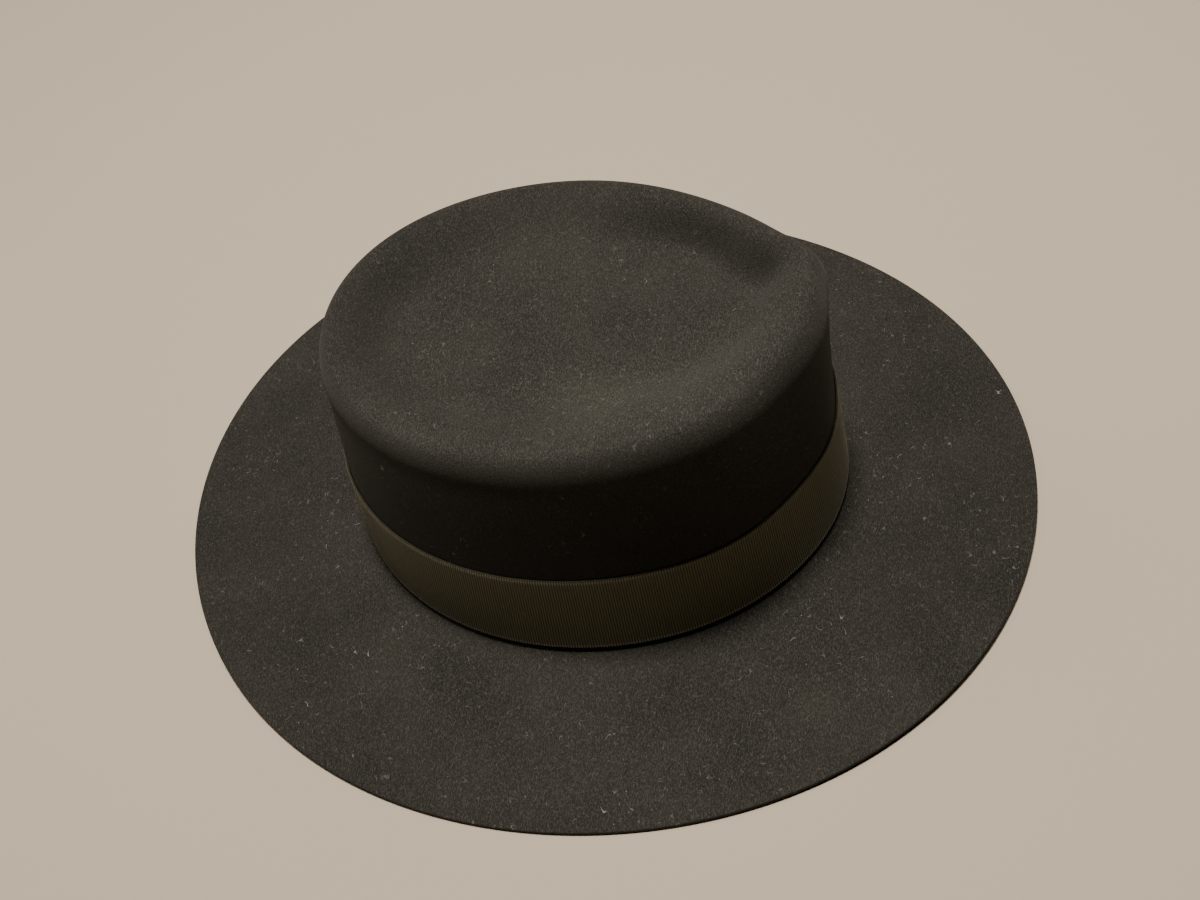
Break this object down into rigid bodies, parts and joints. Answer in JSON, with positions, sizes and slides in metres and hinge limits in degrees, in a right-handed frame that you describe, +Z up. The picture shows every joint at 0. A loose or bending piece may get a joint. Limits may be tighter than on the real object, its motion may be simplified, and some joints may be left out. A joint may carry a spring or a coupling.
{
  "type": "fedora hat",
  "caption": "Wide-brimmed felt fedora with a tapered, dished teardrop crown, a pinched front and a plain ribbed ribbon band.",
  "frame": {"origin": "on the surface that the brim rests on, at the centre of the bounding box", "axes": "+Z up, -Y to the front of the hat, +X to the wearer's left"},
  "size_m": [0.3054, 0.3516, 0.1172],
  "materials": {
    "felt": "soft matte wool felt, short nap",
    "ribbon": "ribbed grosgrain, low sheen"
  },
  "bodies": {
    "root": {"felt_body": "felt", "hat_band": "ribbon"}
  },
  "joints": []
}
